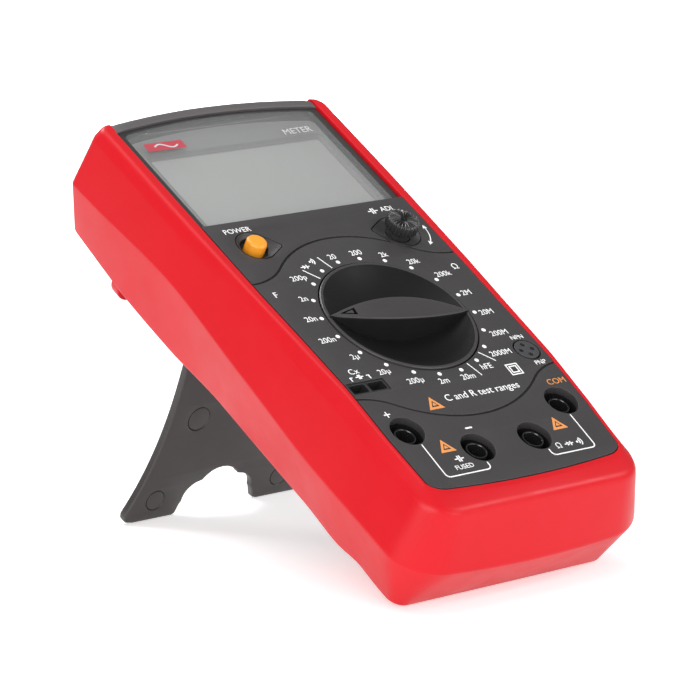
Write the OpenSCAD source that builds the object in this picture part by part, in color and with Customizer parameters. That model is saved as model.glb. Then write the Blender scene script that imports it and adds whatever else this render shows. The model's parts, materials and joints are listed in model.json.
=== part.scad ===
// Handheld capacitance and resistance tester in its rubber holster, standing on its tilt stand.
//
// Everything is drawn in the body frame: the origin is the centre of the range dial on the flat
// face, +X is right, +Y points at the display and +Z comes out of the face. in_place() then leans
// the whole tester back until its heel and the stand's feet rest on the plane Z = 0.

/* [Holster] */
// Width across the side creases
holster_w = 82.6; // [82:0.2:84]
// Depth of the flat back below the face
holster_depth = 36.4; // [36.2:0.1:37]
// Height of the side crease below the face
crease_depth = 18.3; // [17:0.1:20]
// Half width of the notch that shows the end of the case
notch_half_w = 34.3; // [33:0.1:34.3]
// Gap between the holster and the case
holster_gap = 0.15; // [0.1:0.05:0.2]

/* [Case and face] */
// Wall thickness of both case shells
wall = 2.2; // [1.8:0.1:2.4]
// Depth of the back of the case below the face
case_depth = 32.8; // [32.6:0.1:33]
// Depth of the seam between the front and the rear shell
seam_depth = 17.5; // [16:0.1:19]
// Slope of the socket area of the face in degrees
socket_slope = 4; // [2:0.5:4.5]
// Depth of the display area below the rim
display_step = 1.0; // [0.8:0.1:1.2]
// Case screw radius
case_screw_r = 1.3; // [1.2:0.05:1.4]

/* [Range dial] */
// Radius of the range knob
knob_r = 21.65; // [21:0.05:21.8]
// Radius of the well that the knob turns in
well_r = 22; // [21.9:0.1:22.4]
// Number of range positions
positions = 20; // [12:1:24]
// Direction of the pointer at rest, anticlockwise from +X
pointer_angle = 171; // [0:1:359]
// Half width of the grip blade
blade_half_w = 4.4; // [3.5:0.1:5]
// Height of the blade above the face
blade_top = 2.9; // [2.4:0.1:3.4]
// Depth of the finger scoops at the middle
scoop_depth = 5; // [4.4:0.1:5]
// Radius of the knob's hub
hub_r = 5; // [4:0.1:6]
// Running clearance of the hub and of the small shafts
running_gap = 0.06; // [0.03:0.01:0.1]

/* [Controls] */
// Radius of the power button
button_r = 2.95; // [2.6:0.05:3.2]
// Height of the power button above the face
button_top = 1.7; // [1.2:0.1:2]
// Travel of the power button
button_travel = 2.5; // [2:0.1:2.6]
// Radius of the zero adjuster knob
adjuster_r = 4.6; // [4.2:0.1:4.8]
// Height of the zero adjuster knob above the face
adjuster_top = 4.6; // [4:0.1:5]
// Number of grip flutes on the zero adjuster
adjuster_flutes = 24; // [16:1:30]

/* [Sockets] */
// Radius of the bore that takes a test plug
jack_bore_r = 2; // [1.95:0.01:2.05]
// Radius of the well around each jack
jack_well_r = 4.8; // [4.6:0.1:5]
// Spacing of neighbouring jacks
jack_pitch = 19.05; // [19:0.05:19.1]
// Depth of the plug bore
jack_bore_depth = 13.6; // [12:0.2:14]
// Radius of the transistor socket
transistor_r = 3.75; // [3.5:0.05:4]

/* [Display] */
// Half width of the display lens
lens_half_w = 32.1; // [31.8:0.1:32.2]
// Length of the display lens along its middle
lens_len = 43.1; // [42:0.1:43.4]
// Thickness of the display lens
lens_t = 1.4; // [1.2:0.1:1.4]

/* [Tilt stand] */
// Distance from the hinge to the feet
stand_len = 62.95; // [60:0.05:64]
// Angle between the folded and the open stand
stand_angle = 80.9; // [78:0.1:84]
// Thickness of the stand
stand_t = 2.5; // [2.2:0.1:2.6]
// Radius of the hinge barrel
barrel_r = 2; // [1.9:0.1:2.2]
// Radius of the hinge pins
stand_pin_r = 1.25; // [1.1:0.05:1.3]

/* [Inside] */
// Thickness of the main board
board_t = 1.5; // [1.2:0.1:1.6]
// Size of the battery
battery_size = [26.5, 48.5, 17.5];

/* [Hidden] */
$fn = 64;
// Faceting of the discs that the shells are hulled from, and of large arcs
hull_fn = 32;
arc_fn = 180;
// Small overlap that makes cuts and unions clean, the gap between loose pieces, and the thickness
// of the discs that shells are hulled from
eps = 0.1;
part_gap = 0.1;
disc_t = 0.01;

// The shells are hulls of thin corner discs. Each row gives the end of the shell along Y, its half
// width, the height and the corner radius.
holster_half_w = holster_w / 2;
holster_stations = [
    [90.3, 36.4, 0, 4], [-22, 35.6, 0, 1], [-60.8, 34.6, -2.7, 6], [-67, 34.5, -4.2, 8],
    [90, 38.6, -3.5, 4], [-22, 37.6, -3.5, 1], [-65.5, 37, -7.5, 8],
    [88.5, holster_half_w, -crease_depth, 3], [38, holster_half_w, 3 - crease_depth, 1],
    [-72, holster_half_w, -crease_depth - 1.7, 11], [-73.4, 20, -crease_depth - 1.7, 11],
    [86.2, 37.7, -31.8, 3], [36, 34.8, -holster_depth, 4], [-40, 34.6, -holster_depth, 4],
    [-66, 34.5, 1.1 - holster_depth, 5]
];
case_stations = [
    [87, 35.6, -3, 5], [-23, 35.2, -3, 1], [-58.5, 34.9, -6, 6],
    [85.2, 37.8, -seam_depth, 7], [-62.4, 37.3, -seam_depth - 2, 6],
    [82, 32.6, 5.2 - case_depth, 5], [35, 32.6, -case_depth, 5], [-40, 32.6, -case_depth, 5],
    [-57.5, 32.2, 0.6 - case_depth, 5]
];

// Face outline: half width of the plate at each position along Y
plate_edge = [[44.5, 34.4], [17, 34.3], [0, 33.85], [-25, 33.5], [-41, 33.3], [-56, 32.4]];
plate_end_y = -61;
plate_corner_r = 5;
slope_start_y = -23;
face_drop = 6.5;
end_y = 93;
end_arc_r = 200;
tongue_depth = 14;

// Controls and sockets
button_at = [-23.3, 34.4];
adjuster_at = [23.1, 31.1];
recess_depth = 1.5;
adjuster_low = 1.3;
inner_jack_y = -48.9;
outer_jack_y = -39.4;
outer_jack_x = jack_pitch / 2 + sqrt(jack_pitch * jack_pitch - pow(outer_jack_y - inner_jack_y, 2));
plus_at = [-outer_jack_x, outer_jack_y];
minus_at = [-jack_pitch / 2, inner_jack_y];
ohm_at = [jack_pitch / 2, inner_jack_y];
common_at = [outer_jack_x, outer_jack_y];
jacks = [plus_at, minus_at, ohm_at, common_at];
shroud_top = -2.3;
jack_top = -7.5;
transistor_at = [28.5, -20.4];
transistor_pins = 1.9;
capacitor_slots = [-30.05, -24.15];
capacitor_y = -22.9;

// Dial stack, from the face down
well_floor = -scoop_depth - 1;
floor_t = 1;
rotor_top = well_floor - floor_t - 0.15;
rotor_t = 2.6;
rotor_r = 19.6;
stem_r = 3;
detent_ring_r = 20;
ball_r = 1;
ball_reach = 19.9;
ball_z = rotor_top - rotor_t / 2;
board_top = -10.7;
board_low = board_top - board_t;

// Power button stack
flange_z = [-4.5, -3.5];
switch_top = flange_z[0] - button_travel - part_gap;
stem_low = board_top + 0.2 + button_travel;

// Fasteners: place, and depth of the seat under each head
case_screws_at = [[-25, 80.4, 21.5], [25, 80.4, 21.5], [-19, -55.5, 28], [19, -55.5, 28]];
case_screw_head_r = 2.3;
post_r = 2.6;
board_screws_at = [[-29.3, 17], [29.3, 17], [-29.3, -9], [29.3, -9]];
cover_screw_y = -21.8;
cover_w = 30;
cover_y = [-17.5, 33.3];
cover_t = 2;
battery_y = 8;
battery_top = board_low - 0.5;

// Display
lens_y = 45;
lens_arc_r = 178;
glass_y = [44.8, 76.8];
glass_half_w = 30.4;
glass_z = [-5.3, -2.7];

// Back window and stand, in the plane X = 0
window_half_w = 32;
window_y = [-18, 49.5];
hinge = [47, -35.2];
foot = [hinge.x - stand_len * cos(stand_angle), hinge.y - stand_len * sin(stand_angle)];
heel = [holster_stations[14][0], holster_stations[14][2]];
lean = atan2(heel.y - foot.y, foot.x - heel.x);
barrel_half_w = 21.2;
lug_w = 4;
clip_at = [28.5, 67, -38];
clip_r = [3.4, 5];
clip_len = 4;

// Row frame: X is the width, the heel and the feet are at Z = 0, and Y is centred
function lean_y(p) = p.x * cos(lean) - p.y * sin(lean);
function lean_z(p) = p.x * sin(lean) + p.y * cos(lean);
station_y = [for (s = holster_stations) lean_y([s[0], s[2]])];
floor_z = lean_z(heel);
mid_y = (min(station_y) + max(station_y)) / 2;

module in_place() {
    translate([0, -mid_y, -floor_z]) rotate([lean, 0, 0]) children();
}

// Helpers

module corner_discs(stations, grow) {
    for (s = stations, side = [-1, 1])
        translate([side * (s[1] + grow - s[3]), s[0] + sign(s[0]) * (grow - s[3]), s[2]])
        cylinder(h = disc_t, r = s[3], $fn = hull_fn);
}

module case_blank(grow = 0) {
    hull() for (drop = [0, grow]) translate([0, 0, -drop]) corner_discs(case_stations, grow);
}

// Space inside both shells, from the given height up or down
module case_cavity(rise) {
    translate([0, 0, rise]) hull() corner_discs(case_stations, -wall);
}

module slab(z) {
    translate([-60, -90, z[0]]) cube([120, 200, z[1] - z[0]]);
}

module block(x, y, z) {
    translate([x[0], y[0], z[0]]) cube([x[1] - x[0], y[1] - y[0], z[1] - z[0]]);
}

module post(at, r, z) {
    translate([at[0], at[1], z[0]]) cylinder(h = z[1] - z[0], r = r);
}

module bar_x(x, y, z, r) {
    translate([x[0], y, z]) rotate([0, 90, 0]) cylinder(h = x[1] - x[0], r = r);
}

module plate_outline(grow = 0) {
    low = plate_edge[len(plate_edge) - 1];
    corner = low[1] - plate_corner_r;
    polygon([
        for (p = plate_edge) [p[1] + grow, p[0]],
        for (a = [0:-15:-90])
            [corner + (plate_corner_r + grow) * cos(a),
             plate_end_y + plate_corner_r + (plate_corner_r + grow) * sin(a)],
        for (a = [-90:-15:-180])
            [-corner + (plate_corner_r + grow) * cos(a),
             plate_end_y + plate_corner_r + (plate_corner_r + grow) * sin(a)],
        for (i = [len(plate_edge) - 1:-1:0]) [-plate_edge[i][1] - grow, plate_edge[i][0]]
    ]);
}

module end_outline(inset, y) {
    half_w = notch_half_w - holster_gap - inset;
    intersection() {
        translate([0, end_y - end_arc_r]) circle(r = end_arc_r - inset, $fn = 720);
        translate([-half_w, y]) square([2 * half_w, 30]);
    }
}

module display_outline() {
    translate([-34.2, 44.4]) square([68.4, 42.4]);
    end_outline(0, 80);
}

module lens_outline(grow = 0) {
    intersection() {
        translate([0, lens_y + lens_len - lens_arc_r]) circle(r = lens_arc_r + grow, $fn = 720);
        translate([-lens_half_w - grow, lens_y - grow]) square([2 * (lens_half_w + grow), 60]);
    }
}

// Everything above the sloping socket area
module slope_cut() {
    translate([0, slope_start_y, 0]) rotate([socket_slope, 0, 0])
    block([-50, 50], [-60, 0], [0, 12]);
}

module teardrop(r, tip) {
    angle = atan2(tip.y, tip.x);
    reach = norm(tip);
    tangent = acos(r / reach);
    steps = 24;
    span = 360 - 2 * tangent;
    polygon([
        tip,
        for (i = [0:steps]) r * [cos(angle + tangent + i * span / steps),
                                 sin(angle + tangent + i * span / steps)]
    ]);
}

module flat_cylinder_screw(at, head_r, head_t, shank_r, seat, top) {
    post(at, head_r, [seat - head_t, seat]);
    post(at, shank_r, [seat - eps, top]);
}

// Holster and stand

module holster() {
    color("#e8303a") in_place() {
        difference() {
            hull() corner_discs(holster_stations, 0);
            case_blank(holster_gap);
            translate([0, 0, -face_drop]) linear_extrude(face_drop + eps)
            plate_outline(holster_gap);
            translate([0, 0, -face_drop]) linear_extrude(face_drop + eps)
            translate([-34.3, 44.3]) square([68.6, 42.6]);
            block([-notch_half_w, notch_half_w], [80, 100], [-tongue_depth - holster_gap, 1]);
            block([-window_half_w, window_half_w], window_y, [-40, -20]);
        }
        for (side = [0, 1]) mirror([side, 0, 0]) hinge_lug();
    }
}

module hinge_lug() {
    lug = [barrel_half_w + 0.4, barrel_half_w + 0.4 + lug_w];
    difference() {
        union() {
            bar_x(lug, hinge.x, hinge.y, barrel_r + 0.4);
            block(lug, [hinge.x, window_y[1] + 0.5], [-36, -33.4]);
        }
        bar_x([lug[0] - 1, lug[1] + 1], hinge.x, hinge.y, stand_pin_r);
    }
}

module probe_clips() {
    color("#d82a34") in_place() difference() {
        for (side = [-1, 1]) translate([side * clip_at.x, clip_at.y - clip_len / 2, clip_at.z])
        rotate([-90, 0, 0]) difference() {
            cylinder(h = clip_len, r = clip_r[1]);
            translate([0, 0, -1]) cylinder(h = clip_len + 2, r = clip_r[0]);
            translate([-2.4, 0, -1]) cube([4.8, 6, clip_len + 2]);
        }
        hull() corner_discs(holster_stations, 0);
    }
}

// The stand flares towards its feet, with an arch between them
function stand_half_w(s) = 21.2 + 10 * pow(s / 60, 3);

module stand_outline() {
    steps = [0:4:60];
    right = [for (s = steps) [stand_half_w(s), -s]];
    feet = [[31.1, -61.4], [28.4, -stand_len - 1], [14.4, -stand_len - 1], [12.4, -58.6]];
    arch = [for (a = [10:20:90]) [4.9 + 7 * cos(a), -58.6 + 5.8 * sin(a)]];
    bump = [for (a = [20:35:90]) [4.9 * cos(a), -52.8 + 3 * sin(a)]];
    half = concat(right, feet, arch, bump);
    polygon(concat(half, [for (i = [len(half) - 1:-1:0]) [-half[i].x, half[i].y]]));
}

module tilt_stand() {
    color("#4a4442") difference() {
        in_place() translate([0, hinge.x, hinge.y]) rotate([stand_angle, 0, 0]) difference() {
            union() {
                translate([0, 0, -stand_t / 2]) linear_extrude(stand_t) stand_outline();
                bar_x([-barrel_half_w, barrel_half_w], 0, 0, barrel_r);
            }
            for (side = [0, 1]) mirror([side, 0, 0])
                bar_x([14.8, 25], 0, 0, stand_pin_r + 0.05);
        }
        block([-50, 50], [-120, 120], [-20, 0]);
    }
}

module stand_pins() {
    color("#b9bbbd") in_place() for (side = [0, 1]) mirror([side, 0, 0])
        bar_x([15, barrel_half_w + 0.4 + lug_w], hinge.x, hinge.y, stand_pin_r);
}

// Case

module front_case() {
    color("#4c4849") in_place() difference() {
        union() {
            difference() {
                front_shell();
                front_cavity();
            }
            post([0, 0], well_r + 1.4, [well_floor - floor_t, -wall / 2]);
            detent_ring();
            for (at = jacks) post(at, jack_well_r + 1.2, [board_top + 0.1, -wall - 1.3]);
            post(button_at, 6.6, [-3.4, -wall / 2]);
            post(adjuster_at, 7.3, [-3.4, -wall / 2]);
            for (s = case_screws_at) post(s, post_r, [-seam_depth, -2.7]);
            for (at = board_screws_at) post(at, 2.3, [board_top, -wall / 2]);
        }
        post([0, 0], well_r, [well_floor, 5]);
        post([0, 0], hub_r + running_gap, [well_floor - floor_t - 1, 0]);
        for (at = jacks) post(at, jack_well_r, [board_top - 1, 5]);
        control_recesses();
        socket_cutouts();
        translate([0, 0, -display_step - lens_t]) linear_extrude(5) lens_outline(0.1);
        block([-31.6, 31.6], [43.7, 77.7], [-4, 0.1 - display_step - lens_t]);
        for (s = case_screws_at) post(s, case_screw_r + 0.05, [-seam_depth - 1, -8]);
        for (at = board_screws_at) post(at, 1, [board_top - 1, -6]);
    }
}

module front_shell() {
    intersection() {
        case_blank();
        slab([-seam_depth, 0]);
    }
    difference() {
        translate([0, 0, -face_drop]) linear_extrude(face_drop) plate_outline();
        slope_cut();
    }
    translate([0, 0, -face_drop]) linear_extrude(face_drop - display_step) display_outline();
    translate([0, 0, -tongue_depth]) linear_extrude(tongue_depth - face_drop + eps)
    end_outline(0, 80);
}

module front_cavity() {
    intersection() {
        case_cavity(0);
        slab([-seam_depth - 1, 0]);
    }
    block([-31.5, 31.5], [-20, 42.5], [-4, -wall]);
    translate([0, 0, 2 - tongue_depth]) linear_extrude(tongue_depth - 5.6) end_outline(2, 81);
}

module detent_ring() {
    low = rotor_top - rotor_t;
    difference() {
        post([0, 0], detent_ring_r + 2, [low, well_floor - floor_t + eps]);
        post([0, 0], detent_ring_r, [low - 1, well_floor - floor_t]);
        for (i = [0:positions - 1])
            rotate(pointer_angle + i * 360 / positions)
            post([detent_ring_r + 0.1, 0], ball_r, [low - 1, well_floor - floor_t]);
    }
}

module control_recesses() {
    translate([button_at.x, button_at.y, -recess_depth]) linear_extrude(5)
    teardrop(5.3, [8, -1.4]);
    post(button_at, button_r + 0.05, [-5, 0]);
    translate([adjuster_at.x, adjuster_at.y, -recess_depth]) linear_extrude(5)
    teardrop(6, [-7.9, 2.4]);
    post(adjuster_at, 2.4, [-5, 0]);
}

module socket_cutouts() {
    post(transistor_at, transistor_r + 0.1, [-8, 5]);
    block([-33.1, -20.9], [-25.1, -20.7], [-8, 5]);
}

module rear_case() {
    color("#454142") in_place() difference() {
        intersection() {
            case_blank();
            union() {
                rear_shell();
                for (s = case_screws_at) post(s, post_r + 1, [-s[2] - 3.4, -seam_depth]);
                block([-6, 6], [-28, -17.8], [cover_t + 0.1 - case_depth, -25]);
                for (side = [0, 1]) mirror([side, 0, 0])
                    block([13.6, 15.4], [-16, 32], [-31, -22]);
            }
        }
        for (s = case_screws_at) {
            post(s, case_screw_r + 0.3, [-40, 1 - seam_depth]);
            post(s, case_screw_head_r + 0.2, [-40, -s[2]]);
        }
        post([0, cover_screw_y], 1.05, [-40, -26.5]);
        block([-cover_w / 2, cover_w / 2], cover_y, [-40, cover_t + 0.1 - case_depth]);
    }
}

module rear_shell() {
    difference() {
        slab([-50, -seam_depth]);
        intersection() {
            case_cavity(wall);
            slab([-51, 1 - seam_depth]);
        }
        block([-cover_w / 2, cover_w / 2], cover_y, [-40, -25]);
        block([-6, 6], [-26, 0], [-40, -25]);
    }
}

module case_screws() {
    color("#8f9194") in_place() for (s = case_screws_at)
        flat_cylinder_screw(s, case_screw_head_r, 2, case_screw_r, -s[2], -9);
}

module battery_cover() {
    fit = 0.15;
    color("#454142") in_place() difference() {
        union() {
            block([fit - cover_w / 2, cover_w / 2 - fit], [cover_y[0] + fit, cover_y[1] - fit],
                  [-case_depth, cover_t - case_depth]);
            block([fit - 6, 6 - fit], [fit - 26, 0], [-case_depth, cover_t - case_depth]);
        }
        post([0, cover_screw_y], 1.2, [-40, -20]);
        post([0, cover_screw_y], 2.1, [-40, 1.1 - case_depth]);
    }
}

module cover_screw() {
    color("#8f9194") in_place()
        flat_cylinder_screw([0, cover_screw_y], 1.9, 1, 1, 1.1 - case_depth, -27);
}

// Display

module display_lens() {
    color("#8d9090", 0.6) in_place() translate([0, 0, -display_step - lens_t])
    linear_extrude(lens_t) lens_outline();
}

module lcd_glass() {
    color("#aab2a8") in_place() block([-glass_half_w, glass_half_w], glass_y, glass_z);
}

module lcd_frame() {
    color("#2b2b2c") in_place() difference() {
        block([-31.4, 31.4], [43.8, 77.6], [board_top, -2.8]);
        block([-29.4, 29.4], [45.8, 75.8], [board_top - 1, 0]);
        block([-30.5, 30.5], [44.7, 76.9], [glass_z[0], 0]);
    }
}

module contact_strips() {
    color("#d9d3c0") in_place() for (y = [46, 73.6])
        block([-27, 27], [y, y + 2], [board_top, glass_z[0]]);
}

// Board

module main_board() {
    color("#2f6b3c") in_place() difference() {
        hull() for (x = [-28, 28], y = [-53, 74]) post([x, y], 3.5, [board_low, board_top]);
        for (at = jacks) post(at, 2.45, [-20, 0]);
        for (s = case_screws_at) post(s, post_r + 0.4, [-20, 0]);
        for (at = board_screws_at) post(at, 1.1, [-20, 0]);
        for (x = capacitor_slots, side = [-1, 1])
            post([x + side * 2.1, capacitor_y], 0.6, [-20, 0]);
        for (a = [0:90:270])
            post(transistor_pin(a), 0.4, [-20, 0]);
        post([0, 0], 1.6, [-20, 0]);
    }
}

module board_screws() {
    color("#8f9194") in_place() for (at = board_screws_at)
        flat_cylinder_screw(at, 1.8, 1.2, 0.95, board_low, -6.5);
}

module meter_chip() {
    color("#222324") in_place() block([-7, 7], [50, 64], [board_low - 2.2, board_low]);
}

module board_parts() {
    color("#c8a13c") in_place() {
        for (i = [0:3]) post([15 + 4 * (i % 2), 48 + 9 * i], 1.6, [board_low - 7, board_low]);
        for (i = [0:5]) block([-27, -20.5], [-6 + 4 * i, -4 + 4 * i], [board_low - 2, board_low]);
        for (i = [0:2]) block([20, 26.5], [-2 + 9 * i, 4.5 + 9 * i], [board_low - 4.6, board_low]);
    }
}

module buzzer() {
    color("#1d1d1e") in_place() post([-20, 60], 7, [board_low - 3.5, board_low]);
}

// Range dial

module range_knob() {
    color("#232224") in_place() rotate(pointer_angle) {
        rotate_extrude() knob_profile();
        blade();
    }
}

// Half section: a flush rim, a scooped top, the hub and the stem
module knob_profile() {
    scoop_edge_r = 20.7;
    rim_top = 0.3;
    drop = scoop_depth + rim_top;
    scoop_r = (scoop_edge_r * scoop_edge_r + drop * drop) / (2 * drop);
    polygon([
        for (r = [0:1.15:scoop_edge_r])
            [r, scoop_r - scoop_depth - sqrt(scoop_r * scoop_r - r * r)],
        [knob_r, rim_top], [knob_r, well_floor + 0.2], [hub_r, well_floor + 0.2],
        [hub_r, rotor_top], [stem_r, rotor_top], [stem_r, rotor_top - rotor_t],
        [0, rotor_top - rotor_t]
    ]);
}

// Lens-shaped in plan, arched along its length
module blade() {
    half_len = knob_r - 0.4;
    side_r = (half_len * half_len + blade_half_w * blade_half_w) / (2 * blade_half_w);
    rise = blade_top - 1;
    arch_r = (half_len * half_len + rise * rise) / (2 * rise);
    low = -scoop_depth - 0.4;
    intersection() {
        post([0, side_r - blade_half_w], side_r, [low, blade_top + 1], $fn = arc_fn);
        post([0, blade_half_w - side_r], side_r, [low, blade_top + 1], $fn = arc_fn);
        translate([0, 50, blade_top - arch_r]) rotate([90, 0, 0])
        cylinder(h = 100, r = arch_r, $fn = 720);
    }
}

module knob_rotor() {
    color("#e8e4da") in_place() rotate(pointer_angle) difference() {
        post([0, 0], rotor_r, [rotor_top - rotor_t, rotor_top]);
        post([0, 0], stem_r, [rotor_top - rotor_t - 1, rotor_top + 1]);
        for (side = [0, 1]) mirror([side, 0, 0])
            bar_x([11, 21], 0, ball_z, ball_r + 0.05);
    }
}

module wiper_contacts() {
    low = board_top + 0.05;
    top = rotor_top - rotor_t;
    color("#c9a44a") in_place() rotate(pointer_angle) for (side = [0, 1]) mirror([0, side, 0]) {
        block([-4, 4], [7, 15], [top - 0.3, top]);
        for (y = [8, 11, 14]) block([-0.5, 0.5], [y - 0.4, y + 0.4], [low, top - 0.3 + eps]);
    }
}

module detent_balls() {
    color("#a9abad") in_place() rotate(pointer_angle) for (side = [-1, 1])
        translate([side * (ball_reach - ball_r), 0, ball_z]) sphere(r = ball_r, $fn = 32);
}

module detent_springs() {
    coils = 5;
    color("#9a9c9e") in_place() rotate(pointer_angle) for (side = [0, 1]) mirror([side, 0, 0])
        for (i = [0:coils - 1]) translate([11.4 + i * 1.4, 0, ball_z]) rotate([0, 90, 0])
        rotate_extrude($fn = 32) translate([0.7, 0]) circle(r = 0.2, $fn = 16);
}

// Power button and zero adjuster

module power_button() {
    color("#f5a321") in_place() {
        post(button_at, button_r, [flange_z[1] - eps, button_top]);
        post(button_at, button_r + 0.9, flange_z);
        post(button_at, 1.4, [stem_low, flange_z[0] + eps]);
    }
}

module power_switch() {
    color("#3a3a3c") in_place() difference() {
        translate([button_at.x, button_at.y, 0]) block([-4, 4], [-4, 4], [board_top, switch_top]);
        post(button_at, 1.4 + running_gap, [board_top - 1, 0]);
    }
}

module adjuster_knob() {
    color("#1c1b1d") in_place() translate([adjuster_at.x, adjuster_at.y, 0]) difference() {
        union() {
            post([0, 0], adjuster_r, [adjuster_low, adjuster_top]);
            post([0, 0], adjuster_r - 1.2, [0.2 - recess_depth, adjuster_low + eps]);
        }
        for (i = [0:adjuster_flutes - 1]) rotate(i * 360 / adjuster_flutes)
            post([adjuster_r + 0.15, 0], 0.45, [adjuster_low - 1, 6]);
        post([0, 0], 1.5, [-3, 2.6]);
    }
}

module adjuster_shaft() {
    color("#d8d6ce") in_place() post(adjuster_at, 1.5, [-9.5, 2.6]);
}

module adjuster_pot() {
    color("#2f5fa8") in_place() difference() {
        translate([adjuster_at.x, adjuster_at.y, 0])
        block([-4.75, 4.75], [-4.75, 4.75], [board_top, -5.2]);
        post(adjuster_at, 1.5 + running_gap, [-9.6, -5]);
    }
}

// Jacks: a moulded shroud stands in each well, and a metal sleeve passes through the board

module jack_shroud(at, tint) {
    color(tint) in_place() difference() {
        union() {
            post(at, jack_well_r - 0.1, [board_top, board_top + 1.2]);
            post(at, 2.9, [board_top, shroud_top]);
        }
        post(at, jack_bore_r + 0.4, [board_top - 1, 0]);
    }
}

module jack_sleeve(at) {
    low = jack_top - jack_bore_depth;
    color("#c9ae62") in_place() difference() {
        union() {
            post(at, jack_bore_r + 0.4, [low - 1, jack_top]);
            post(at, jack_bore_r + 1.6, [board_low - 0.8, board_low]);
        }
        post(at, jack_bore_r, [low, 1]);
    }
}

module plus_shroud() {
    jack_shroud(plus_at, "#1c1c1e");
}

module minus_shroud() {
    jack_shroud(minus_at, "#1c1c1e");
}

module ohm_shroud() {
    jack_shroud(ohm_at, "#1c1c1e");
}

module common_shroud() {
    jack_shroud(common_at, "#1c1c1e");
}

module plus_sleeve() {
    jack_sleeve(plus_at);
}

module minus_sleeve() {
    jack_sleeve(minus_at);
}

module ohm_sleeve() {
    jack_sleeve(ohm_at);
}

module common_sleeve() {
    jack_sleeve(common_at);
}

// Component sockets

module capacitor_socket() {
    color("#161617") in_place() difference() {
        block([-33, -21], [-25, -20.8], [board_top, -0.4]);
        for (x = capacitor_slots) block([x - 2.5, x + 2.5], [-24.4, -21.4], [-9, 1]);
        for (x = capacitor_slots, side = [-1, 1])
            post([x + side * 2.1, capacitor_y], 0.6, [board_top - 1, 0]);
    }
}

module capacitor_contacts() {
    color("#c9a44a") in_place() for (x = capacitor_slots, side = [-1, 1]) {
        post([x + side * 2.1, capacitor_y], 0.5, [board_low - 1.4, -8]);
        translate([x + side * 2.1, capacitor_y, 0]) block([-0.2, 0.2], [-1.2, 1.2], [-8.9, -5]);
    }
}

function transistor_pin(a) = transistor_at + transistor_pins * [cos(a), sin(a)];

module transistor_socket() {
    color("#8a8b8e") in_place() difference() {
        post(transistor_at, transistor_r, [board_top, -0.1]);
        for (a = [0:90:270]) post(transistor_pin(a), 0.45, [board_top - 1, 1]);
    }
}

module transistor_contacts() {
    color("#c9a44a") in_place() for (a = [0:90:270])
        post(transistor_pin(a), 0.35, [board_low - 1.2, -4]);
}

// Power and protection

module fuse() {
    fuse_z = board_low - 3.6;
    color("#d7dbdd") in_place() {
        bar_x([-20, -15], -31, fuse_z, 2.6);
        bar_x([-15, -5], -31, fuse_z, 2.45);
        bar_x([-5, 0], -31, fuse_z, 2.6);
    }
}

module fuse_clips() {
    fuse_z = board_low - 3.6;
    color("#bfa65a") in_place() for (x = [-19.5, -4.5]) difference() {
        block([x, x + 4], [-34.4, -27.6], [fuse_z - 1.8, board_low]);
        bar_x([x - 1, x + 5], -31, fuse_z, 2.62);
        block([x - 1, x + 5], [-32.6, -29.4], [fuse_z - 3, fuse_z]);
    }
}

module battery() {
    color("#30343a") in_place()
    translate([0, battery_y, battery_top - battery_size.z / 2]) cube(battery_size, center = true);
}

module battery_snap() {
    near = battery_y + battery_size.y / 2;
    color("#19191a") in_place()
        block([-12, 12], [near, near + 3.4], [battery_top - 16, battery_top - 2]);
}

module battery_leads() {
    near = battery_y + battery_size.y / 2 + 1.7;
    color("#b3202a") in_place() for (x = [-4, 4])
        post([x, near], 0.6, [battery_top - 2, board_low]);
}

holster();
probe_clips();
front_case();
rear_case();
case_screws();
battery_cover();
cover_screw();
display_lens();
lcd_glass();
lcd_frame();
contact_strips();
main_board();
board_screws();
meter_chip();
board_parts();
buzzer();
range_knob();
knob_rotor();
wiper_contacts();
detent_balls();
detent_springs();
power_button();
power_switch();
adjuster_knob();
adjuster_shaft();
adjuster_pot();
plus_shroud();
minus_shroud();
ohm_shroud();
common_shroud();
plus_sleeve();
minus_sleeve();
ohm_sleeve();
common_sleeve();
capacitor_socket();
capacitor_contacts();
transistor_socket();
transistor_contacts();
fuse();
fuse_clips();
battery();
battery_snap();
battery_leads();
tilt_stand();
stand_pins();
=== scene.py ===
"""Looks of a handheld component tester in its rubber holster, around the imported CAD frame.

Pieces are drawn in the tester's body frame, in millimetres: the origin is the centre of the range
dial on the flat face, +X is right, +Y points at the display and +Z comes out of the face. BODY
takes them to the row frame, in metres.
"""
import json
import math

import bmesh
import bpy
from mathutils import Matrix, Vector


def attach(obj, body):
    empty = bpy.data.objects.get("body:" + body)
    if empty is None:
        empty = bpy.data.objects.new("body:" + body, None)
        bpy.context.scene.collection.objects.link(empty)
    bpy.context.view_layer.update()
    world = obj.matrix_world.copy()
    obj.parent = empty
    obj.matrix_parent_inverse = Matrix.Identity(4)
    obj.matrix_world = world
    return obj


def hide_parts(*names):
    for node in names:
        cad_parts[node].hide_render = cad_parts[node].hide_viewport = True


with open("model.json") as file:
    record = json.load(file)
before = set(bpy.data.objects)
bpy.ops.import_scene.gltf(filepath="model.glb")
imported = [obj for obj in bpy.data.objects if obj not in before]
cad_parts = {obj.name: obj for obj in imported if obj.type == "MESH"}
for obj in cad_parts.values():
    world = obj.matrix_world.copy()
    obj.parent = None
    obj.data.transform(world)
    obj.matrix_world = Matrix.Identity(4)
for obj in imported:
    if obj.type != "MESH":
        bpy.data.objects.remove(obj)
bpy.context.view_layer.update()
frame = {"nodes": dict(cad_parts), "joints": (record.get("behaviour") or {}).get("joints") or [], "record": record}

# Body frame, from the dial's joint: it turns about the face's normal at the origin
joints = {j["name"]: j for j in frame["joints"]}
NORMAL = Vector(joints["dial_turn"]["axis"]).normalized()
RIGHT = Vector((1, 0, 0))
UP = NORMAL.cross(RIGHT)
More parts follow.
